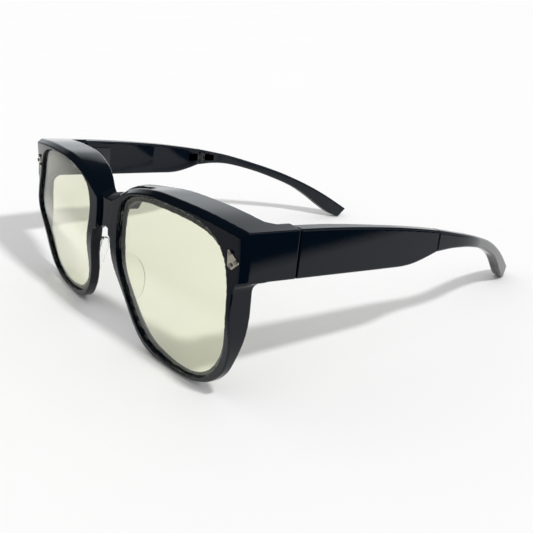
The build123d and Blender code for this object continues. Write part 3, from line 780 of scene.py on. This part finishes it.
        near, far = sorted((side.value * 4.0, side.value * 24.0))
        made = self.shop.skin(f"NosePad_{side.word}", shape, (near, -4.0, 9.0), (far, 14.0, 33.0), 0.25)
        self.shop.dress(made, self.shop.finishes.pad, "pad_clear", "front", f"nose_pad_{side.word}")


@dataclass
class Temple:
    """One temple: the flat arm and the slim tip behind it."""

    shop: Workshop
    side: Side
    half_width: float = 74.0
    endpiece_inner: float = 68.6
    thickness: float = 4.0
    front: float = 18.45
    root: float = 11.0
    taper: float = 20.0
    seam: float = 72.0
    tip_front: float = 72.12
    cell: float = 0.35
    top: float = 51.0
    bottom: float = 37.3
    end_top: float = 47.6
    end_bottom: float = 40.8
    straight: float = 8.0
    inset: float = 24.0
    bend_radius: float = 40.0
    reach: float = 142.0
    foot: float = 19.2
    arm_round: float = 0.7
    tip_round: float = 0.9
    end_round: float = 0.2
    room_place: tuple[float, float] = (73.45, 44.2)
    room_half: tuple[float, float] = (1.45, 2.3)
    room_outer: float = 71.95
    crown_stops: Points = field(
        default_factory=lambda: [(27.8, 50.85), (38.7, 50.45), (53.2, 49.55), (62.9, 48.65)]
    )
    kick_stops: Points = field(default_factory=lambda: [(59.0, 37.42), (63.0, 38.0), (67.5, 39.25)])
    top_shares: Points = field(
        default_factory=lambda: [
            (0.000, 1.000), (0.113, 0.955), (0.227, 0.905), (0.406, 0.798), (0.556, 0.690),
            (0.671, 0.583), (0.774, 0.470), (0.870, 0.345), (1.000, 0.150),
        ]
    )
    bottom_shares: Points = field(
        default_factory=lambda: [
            (0.955, 0.000), (0.890, 0.066), (0.822, 0.176), (0.739, 0.325), (0.642, 0.466),
            (0.528, 0.578), (0.392, 0.684), (0.227, 0.768), (0.113, 0.782), (0.000, 0.7606),
        ]
    )

    def arm_field(self) -> Field:
        """Cut the side view of the arm out of a strip that thins towards the back.

        Returns:
            The distance field of the left arm.
        """
        inner = self.half_width - self.thickness
        taper_start, taper_end = self.front + self.root, self.front + self.root + self.taper
        plan = FlatShape(
            [
                (self.half_width, 0.0), (self.half_width, 90.0), (inner, 90.0), (inner, taper_end),
                (self.endpiece_inner, taper_start), (self.endpiece_inner, 0.0),
            ],
            (60.0, 10.0),
            (80.0, 80.0),
        )
        ends = [(self.seam, self.end_top), (82.0, 46.2)]
        crown = smooth_run([(8.0, self.top), (self.front, self.top), *self.crown_stops, *ends])
        ends = [(self.seam, self.end_bottom), (80.0, 43.6)]
        kick = smooth_run([(30.0, self.bottom), (52.0, self.bottom), *self.kick_stops, *ends])
        outline = [(0.0, self.bottom), *kick, (82.0, 44.5), *crown[::-1], (0.0, self.top)]
        view = FlatShape(outline, (10.0, 30.0), (78.0, 56.0))

        def shape(places: Array) -> Array:
            """Distance to the left arm."""
            x, y, z = places[:, 0] * self.side.value, places[:, 1], places[:, 2]
            body = both(plan.at(x, y), view.at(y, z), self.arm_round)
            body = both(body, self.front - y, self.end_round)
            return both(body, y - self.seam, self.end_round)

        return shape

    def tip_plan(self) -> Points:
        """Draw the plan of the tip, straight and then bent inwards.

        Returns:
            The outline in plan, run on past both ends.
        """
        start = self.tip_front + self.straight
        centre = self.half_width - self.bend_radius
        end = (self.half_width - self.inset - centre, self.reach - start)
        far = math.hypot(*end)
        turn = math.atan2(end[1], end[0]) - math.acos(self.bend_radius / far)
        run = math.sqrt(far**2 - self.bend_radius**2) + 8.0
        sides = []
        for radius in (self.bend_radius, self.bend_radius - self.thickness):
            line = [(centre + radius, self.tip_front - 10)]
            line += [
                (centre + radius * math.cos(angle), start + radius * math.sin(angle))
                for angle in np.linspace(0, turn, 40)
            ]
            last = line[-1]
            line.append((last[0] - run * math.sin(turn), last[1] + run * math.cos(turn)))
            sides.append(line)
        return sides[0] + sides[1][::-1]

    def tip_field(self) -> Field:
        """Cut the side view of the tip out of its bent strip.

        Returns:
            The distance field of the left tip.
        """
        plan = FlatShape(self.tip_plan(), (40.0, 66.0), (80.0, 150.0))
        long, drop = self.reach - self.tip_front, self.end_top - self.foot
        crown, belly = (
            [(self.tip_front + back * long, self.foot + up * drop) for back, up in shares]
            for shares in (self.top_shares, self.bottom_shares)
        )
        outline = smooth_run([(self.tip_front - 8, self.end_top + 0.9)] + crown)
        outline += smooth_run(belly + [(self.tip_front - 8, self.end_bottom - 0.3)])
        view = FlatShape(outline, (66.0, 14.0), (148.0, 52.0))

        def shape(places: Array) -> Array:
            """Distance to the left tip, with the room for the small hinge."""
            x, y, z = places[:, 0] * self.side.value, places[:, 1], places[:, 2]
            body = both(plan.at(x, y), view.at(y, z), self.tip_round)
            body = both(body, self.tip_front - y, self.end_round)
            back, up = np.abs(y - self.room_place[0]), np.abs(z - self.room_place[1])
            room = np.maximum(back - self.room_half[0], up - self.room_half[1])
            return both(body, -np.maximum(room, x - self.room_outer), self.end_round / 2)

        return shape

    def build(self) -> None:
        """Build and dress the arm and the tip."""
        word, sign = self.side.word, self.side.value
        black, satin = self.shop.finishes.gloss_black, self.shop.finishes.satin_black
        near, far = sorted((sign * 68.0, sign * 74.5))
        low, high = (near, self.front, 36.0), (far, self.seam, 52.0)
        made = self.shop.skin(f"TempleArm_{word}", self.arm_field(), low, high, self.cell)
        self.shop.dress(made, black, "frame_black", f"temple_{word}", f"temple_arm_{word}")
        near, far = sorted((sign * 44.0, sign * 74.5))
        low, high = (near, self.tip_front, 18.0), (far, 143.0, 48.5)
        made = self.shop.skin(f"TempleTip_{word}", self.tip_field(), low, high, self.cell)
        self.shop.dress(made, satin, "tip_black", f"tip_{word}", f"temple_tip_{word}")


@dataclass
class Hardware:
    """The metal pieces that keep their CAD shapes."""

    shop: Workshop

    def build(self) -> None:
        """Give every CAD node that is still shown its finish."""
        for name, node in sorted(frame["nodes"].items()):
            if node.hide_render:
                continue
            finish = self.finish_of(name)
            node.data.materials.clear()
            node.data.materials.append(finish)
            log.info("%s: dressed with %s", name, finish.name)

    def finish_of(self, name: str) -> bpy.types.Material:
        """Choose the finish of a CAD node.

        Args:
            name: the node's name.

        Returns:
            Its material.
        """
        if "rivets" in name:
            return self.shop.finishes.rivet
        if "plaque" in name:
            return self.shop.finishes.champagne
        if "tip_hinge" in name or "leaf" in name:
            return self.shop.finishes.dark_steel
        return self.shop.finishes.steel


@dataclass
class Studio:
    """White table, a key lamp near it, even white light round it that glossy rays see as a painted dim
    reflection, and the camera.
    """

    camera_place: tuple[float, float, float] = (0.22508, -0.162752, 0.111795)
    azimuth: float = 55.3025
    elevation: float = 21.0824
    roll: float = -0.8202
    lens: float = 51.8815
    floor_half: float = 6.0
    paper_tones: tuple[float, float] = (0.875, 0.895)
    # Painted dark reflection: where glossy rays see the table dark, on its right side and at its front.
    dark_reflection_right: tuple[float, float] = (0.158, 0.170)
    dark_reflection_front: tuple[float, float] = (-0.09, -0.14)
    front_reflection_darkening: float = 0.62
    key_place: tuple[float, float, float] = (0.26, -0.034, 0.27)
    key_strength: float = 0.42
    key_radius: float = 0.013
    key_lowest: float = 0.04
    ambient: float = 0.69
    # Painted reflection in the world, which only glossy rays see.
    painted_glow_from: tuple[float, float, float] = (0.45, 0.4, 0.8)
    painted_reflection_dim: float = 0.05
    painted_low_strip: float = 0.9
    painted_glow_edge: tuple[float, float] = (0.82, 0.95)
    band_edge: tuple[float, float] = (0.2, 0.45)
    band_start: tuple[float, float] = (-0.1, 0.2)

    def build(self) -> None:
        """Set up the table, the lamp, the world and the camera."""
        self.table()
        self.world()
        self.key()
        self.camera()

    def ramp(
        self, tree: bpy.types.NodeTree, source: tuple[float, float], target: tuple[float, float]
    ) -> bpy.types.Node:
        """Add a node that maps one range of values to another.

        Args:
            tree: the nodes that it joins.
            source: the range of the incoming value.
            target: what its two ends become.

        Returns:
            The node.
        """
        made = tree.nodes.new("ShaderNodeMapRange")
        made.inputs["From Min"].default_value, made.inputs["From Max"].default_value = source
        made.inputs["To Min"].default_value, made.inputs["To Max"].default_value = target
        return made

    def sum_node(self, tree: bpy.types.NodeTree, kind: str, second: float = 0.5) -> bpy.types.Node:
        """Add a node that works out one sum.

        Args:
            tree: the nodes that it joins.
            kind: the sum's name.
            second: the second value, where nothing is linked to it.

        Returns:
            The node.
        """
        made = tree.nodes.new("ShaderNodeMath")
        made.operation = kind
        made.inputs[1].default_value = second
        return made

    def table(self) -> None:
        """Lay the white table, with a painted dark reflection on its right and front for glossy rays."""
        h = self.floor_half
        mesh = bpy.data.meshes.new("Table")
        mesh.from_pydata([(-h, -h, 0), (h, -h, 0), (h, h, 0), (-h, h, 0)], [], [(0, 1, 2, 3)])
        made = bpy.data.objects.new("Table", mesh)
        bpy.context.scene.collection.objects.link(made)
        paper = bpy.data.materials.new("WhitePaper")
        paper.use_nodes = True
        tree = paper.node_tree
        shader = tree.nodes["Principled BSDF"]
        shader.inputs["Roughness"].default_value = 0.3
        shader.inputs["Specular IOR Level"].default_value = 0.0
        place = tree.nodes.new("ShaderNodeTexCoord")
        mottle = tree.nodes.new("ShaderNodeTexNoise")
        mottle.inputs["Scale"].default_value = 5.0
        tone = self.ramp(tree, (0.0, 1.0), self.paper_tones)
        link = tree.links.new
        link(place.outputs["Object"], mottle.inputs["Vector"])
        link(mottle.outputs["Fac"], tone.inputs["Value"])
        link(tone.outputs["Result"], shader.inputs["Base Color"])
        # Painted dark reflection: glossy rays see the table fade to a dark emission on its right side and
        # partly at its front.
        split = tree.nodes.new("ShaderNodeSeparateXYZ")
        link(place.outputs["Object"], split.inputs["Vector"])
        right = self.ramp(tree, self.dark_reflection_right, (0.0, 1.0))
        front = self.ramp(tree, self.dark_reflection_front, (0.0, self.front_reflection_darkening))
        link(split.outputs["X"], right.inputs["Value"])
        link(split.outputs["Y"], front.inputs["Value"])
        painted_reflection_mask = self.sum_node(tree, "MAXIMUM")
        link(right.outputs["Result"], painted_reflection_mask.inputs[0])
        link(front.outputs["Result"], painted_reflection_mask.inputs[1])
        path = tree.nodes.new("ShaderNodeLightPath")
        mirrored = self.sum_node(tree, "MULTIPLY")
        link(painted_reflection_mask.outputs["Value"], mirrored.inputs[0])
        link(path.outputs["Is Glossy Ray"], mirrored.inputs[1])
        # The dark emission is painted shade that the plastic mirrors in place of the paper.
        dark = tree.nodes.new("ShaderNodeEmission")
        dark.inputs["Color"].default_value = (0.01, 0.02, 0.03, 1)
        mix = tree.nodes.new("ShaderNodeMixShader")
        link(mirrored.outputs["Value"], mix.inputs["Fac"])
        link(shader.outputs["BSDF"], mix.inputs[1])
        link(dark.outputs["Emission"], mix.inputs[2])
        link(mix.outputs["Shader"], tree.nodes["Material Output"].inputs["Surface"])
        mesh.materials.append(paper)

    def world(self) -> None:
        """Surround the table with even white light; glossy rays see a painted dim reflection, pale
        overhead.
        """
        world = bpy.data.worlds.new("Studio")
        world.use_nodes = True
        tree = world.node_tree
        link = tree.links.new
        even = tree.nodes["Background"]
        even.inputs["Color"].default_value = (1, 1, 1, 1)
        even.inputs["Strength"].default_value = self.ambient
        seen = tree.nodes.new("ShaderNodeBackground")
        seen.inputs["Color"].default_value = (1, 1, 1, 1)
        # Painted reflection for glossy rays: a dim surround with a bright patch high up and a pale strip
        # low behind; only glossy rays see it.
        room = tree.nodes.new("ShaderNodeBackground")
        room.inputs["Color"].default_value = (0.93, 0.97, 1, 1)
        place = tree.nodes.new("ShaderNodeTexCoord")
        split = tree.nodes.new("ShaderNodeSeparateXYZ")
        toward = tree.nodes.new("ShaderNodeVectorMath")
        toward.operation = "DOT_PRODUCT"
        toward.inputs[1].default_value = Vector(self.painted_glow_from).normalized()
        glow = self.ramp(tree, self.painted_glow_edge, (self.painted_reflection_dim, 1.0))
        band = self.ramp(tree, self.band_edge, (self.painted_low_strip, 0.0))
        behind = self.ramp(tree, self.band_start, (0.0, 1.0))
        both_ways = self.sum_node(tree, "MULTIPLY")
        total = self.sum_node(tree, "ADD")
        link(place.outputs["Generated"], split.inputs["Vector"])
        link(place.outputs["Generated"], toward.inputs[0])
        link(toward.outputs["Value"], glow.inputs["Value"])
        link(split.outputs["Z"], band.inputs["Value"])
        link(split.outputs["Y"], behind.inputs["Value"])
        link(band.outputs["Result"], both_ways.inputs[0])
        link(behind.outputs["Result"], both_ways.inputs[1])
        link(glow.outputs["Result"], total.inputs[0])
        link(both_ways.outputs["Value"], total.inputs[1])
        link(total.outputs["Value"], room.inputs["Strength"])
        path = tree.nodes.new("ShaderNodeLightPath")
        mirrored = tree.nodes.new("ShaderNodeMixShader")
        link(path.outputs["Is Glossy Ray"], mirrored.inputs["Fac"])
        link(even.outputs["Background"], mirrored.inputs[1])
        link(room.outputs["Background"], mirrored.inputs[2])
        clear = self.sum_node(tree, "MAXIMUM")
        link(path.outputs["Is Camera Ray"], clear.inputs[0])
        link(path.outputs["Is Transmission Ray"], clear.inputs[1])
        mix = tree.nodes.new("ShaderNodeMixShader")
        link(clear.outputs["Value"], mix.inputs["Fac"])
        link(mirrored.outputs["Shader"], mix.inputs[1])
        link(seen.outputs["Background"], mix.inputs[2])
        link(mix.outputs["Shader"], tree.nodes["World Output"].inputs["Surface"])
        bpy.context.scene.world = world

    def key(self) -> None:
        """Hang the key lamp near the table, feathered so that it lights the table evenly."""
        light = bpy.data.lights.new("Key", "POINT")
        light.shadow_soft_size = self.key_radius
        light.energy = 4 * math.pi**2 * self.key_place[2] ** 2 * self.key_strength
        light.use_nodes = True
        tree = light.node_tree
        place = tree.nodes.new("ShaderNodeTexCoord")
        split = tree.nodes.new("ShaderNodeSeparateXYZ")
        steep = self.sum_node(tree, "ABSOLUTE")
        least = self.sum_node(tree, "MAXIMUM", self.key_lowest)
        feather = self.sum_node(tree, "POWER", -3.0)
        link = tree.links.new
        link(place.outputs["Normal"], split.inputs["Vector"])
        link(split.outputs["Z"], steep.inputs[0])
        link(steep.outputs["Value"], least.inputs[0])
        link(least.outputs["Value"], feather.inputs[0])
        link(feather.outputs["Value"], tree.nodes["Emission"].inputs["Strength"])
        made = bpy.data.objects.new("Key", light)
        made.location = self.key_place
        bpy.context.scene.collection.objects.link(made)

    def camera(self) -> None:
        """Set the camera where the photograph was taken from."""
        a, e, roll = (math.radians(v) for v in (self.azimuth, self.elevation, self.roll))
        ahead = Vector((-math.sin(a) * math.cos(e), math.cos(a) * math.cos(e), -math.sin(e)))
        right = Vector((math.cos(a), math.sin(a), 0))
        up = right.cross(ahead)
        cosine, sine = math.cos(roll), math.sin(roll)
        right, up = right * cosine + up * sine, up * cosine - right * sine
        data = bpy.data.cameras.new("PhotoCamera")
        data.sensor_width = 36.0
        data.lens = self.lens
        data.clip_start, data.clip_end = 0.01, 50.0
        made = bpy.data.objects.new("PhotoCamera", data)
        turn = Matrix((right, up, -ahead)).transposed().to_4x4()
        made.matrix_world = Matrix.Translation(self.camera_place) @ turn
        bpy.context.scene.collection.objects.link(made)
        bpy.context.scene.camera = made


def main() -> None:
    """Build the sub-assemblies in order, then the studio round them."""
    logging.basicConfig(level=logging.INFO, format="%(message)s")
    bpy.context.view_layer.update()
    shop = Workshop(WearerFrame(frame["joints"]), Finishes(), 1.0)
    Front(shop, Face()).build()
    for side in Side:
        Temple(shop, side).build()
    Hardware(shop).build()
    Studio().build()
    scene = bpy.context.scene
    scene.view_settings.view_transform = "Standard"


if __name__ == "__main__":
    main()
